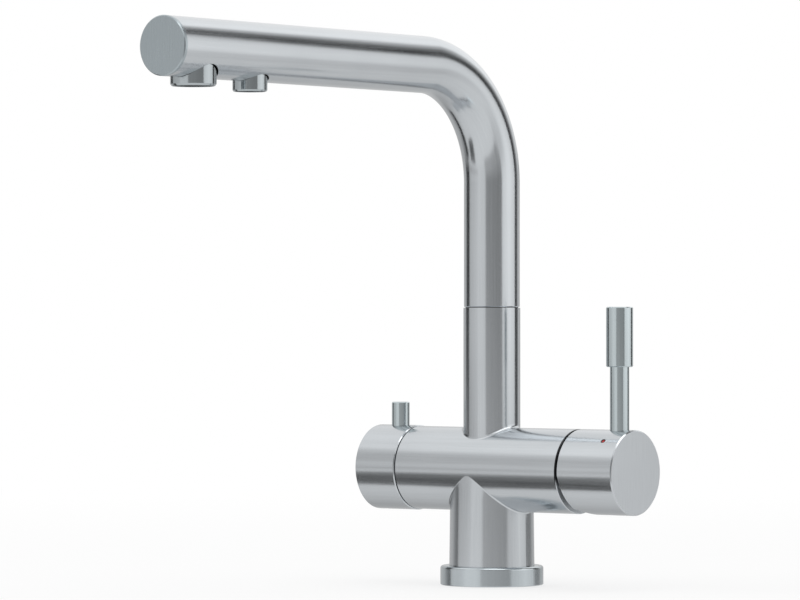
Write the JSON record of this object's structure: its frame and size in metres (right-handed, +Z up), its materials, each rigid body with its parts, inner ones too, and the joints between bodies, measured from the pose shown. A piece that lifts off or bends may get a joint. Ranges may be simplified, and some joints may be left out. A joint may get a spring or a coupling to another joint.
{
  "type": "kitchen mixer faucet",
  "caption": "Deck-mounted three-way kitchen mixer with a swivelling L-shaped spout, a side lever for hot and cold water and a side knob for filtered water.",
  "frame": {"origin": "centre of the base ring on the deck plane", "axes": "+Z up along the column, the spout points to -Y, the mixer lever is on +X"},
  "size_m": [0.171, 0.2939, 0.2916],
  "materials": {
    "brushed_steel": "fine brushed",
    "satin_steel": "satin, nearly polished",
    "brass": "machined",
    "tube_steel": "drawn tube",
    "black_rubber": "moulded",
    "white_plastic": "moulded",
    "grey_plastic": "moulded",
    "white_ceramic": "lapped",
    "dark_steel": "blackened",
    "cover_steel": "turned",
    "red_enamel": "gloss",
    "blue_enamel": "gloss"
  },
  "bodies": {
    "faucet_body": {"base_ring": "brushed_steel", "base_gasket": "black_rubber", "body_shell": "brushed_steel", "inlet_block": "brass", "inlet_retaining_ring": "dark_steel", "hot_supply_tube": "tube_steel", "cold_supply_tube": "tube_steel", "filter_supply_tube": "tube_steel", "swivel_spigot": "brass", "spigot_o_rings": "black_rubber", "slide_washer": "white_plastic", "filter_riser": "white_plastic", "cartridge_base": "white_plastic", "cartridge_port_seals": "black_rubber", "cartridge_fixed_disc": "white_ceramic", "cartridge_housing": "white_plastic", "cartridge_nut": "brass", "cartridge_cover_ring": "cover_steel", "headwork_body": "brass", "headwork_seat_seal": "black_rubber", "headwork_fixed_disc": "white_ceramic"},
    "spout": {"spout_tube": "brushed_steel", "spout_end_plate": "brushed_steel", "spout_socket": "brass", "spout_set_screw": "dark_steel", "filter_coupling": "brass", "filter_coupling_o_ring": "black_rubber", "filter_spout_tube": "white_plastic", "aerator_collar": "satin_steel", "aerator_insert": "grey_plastic", "aerator_screen": "grey_plastic", "aerator_washer": "black_rubber", "filter_collar": "satin_steel", "filter_insert": "grey_plastic"},
    "lever_turn": {"cartridge_rotor": "white_plastic", "cartridge_pivot_pin": "dark_steel"},
    "lever": {"cartridge_stem": "dark_steel", "mixer_cap": "brushed_steel", "cap_set_screw": "dark_steel", "lever_rod": "satin_steel", "lever_grip": "satin_steel", "hot_mark": "red_enamel", "cold_mark": "blue_enamel"},
    "mixing_disc": {"cartridge_moving_disc": "white_ceramic", "cartridge_disc_carrier": "white_plastic"},
    "filter_handle": {"filter_knob": "brushed_steel", "knob_set_screw": "dark_steel", "filter_pin": "satin_steel", "headwork_spindle": "brass", "headwork_spindle_o_ring": "black_rubber", "headwork_moving_disc": "white_ceramic"}
  },
  "joints": [
    {"name": "spout_swivel", "type": "hinge", "parent": "faucet_body", "child": "spout", "pos_m": [0, 0, 0.149], "axis": [0, 0, 1], "range_deg": [-70, 70]},
    {"name": "lever_temperature", "type": "hinge", "parent": "faucet_body", "child": "lever_turn", "pos_m": [0.058, 0, 0.0618], "axis": [1, 0, 0], "range_deg": [-50, 50]},
    {"name": "lever_flow", "type": "hinge", "parent": "lever_turn", "child": "lever", "pos_m": [0.058, 0, 0.0618], "axis": [0, 1, 0], "range_deg": [0, 12]},
    {"name": "mixing_disc_slide", "type": "slide", "parent": "lever_turn", "child": "mixing_disc", "axis": [0, 0, 1], "range_m": [0, 0.0036]},
    {"name": "filter_turn", "type": "hinge", "parent": "faucet_body", "child": "filter_handle", "pos_m": [-0.0626, 0, 0.0618], "axis": [1, 0, 0], "range_deg": [0, 90]}
  ],
  "couplings": [
    {"joint": "mixing_disc_slide", "follows": "lever_flow", "m_per_rad": 0.01695}
  ]
}
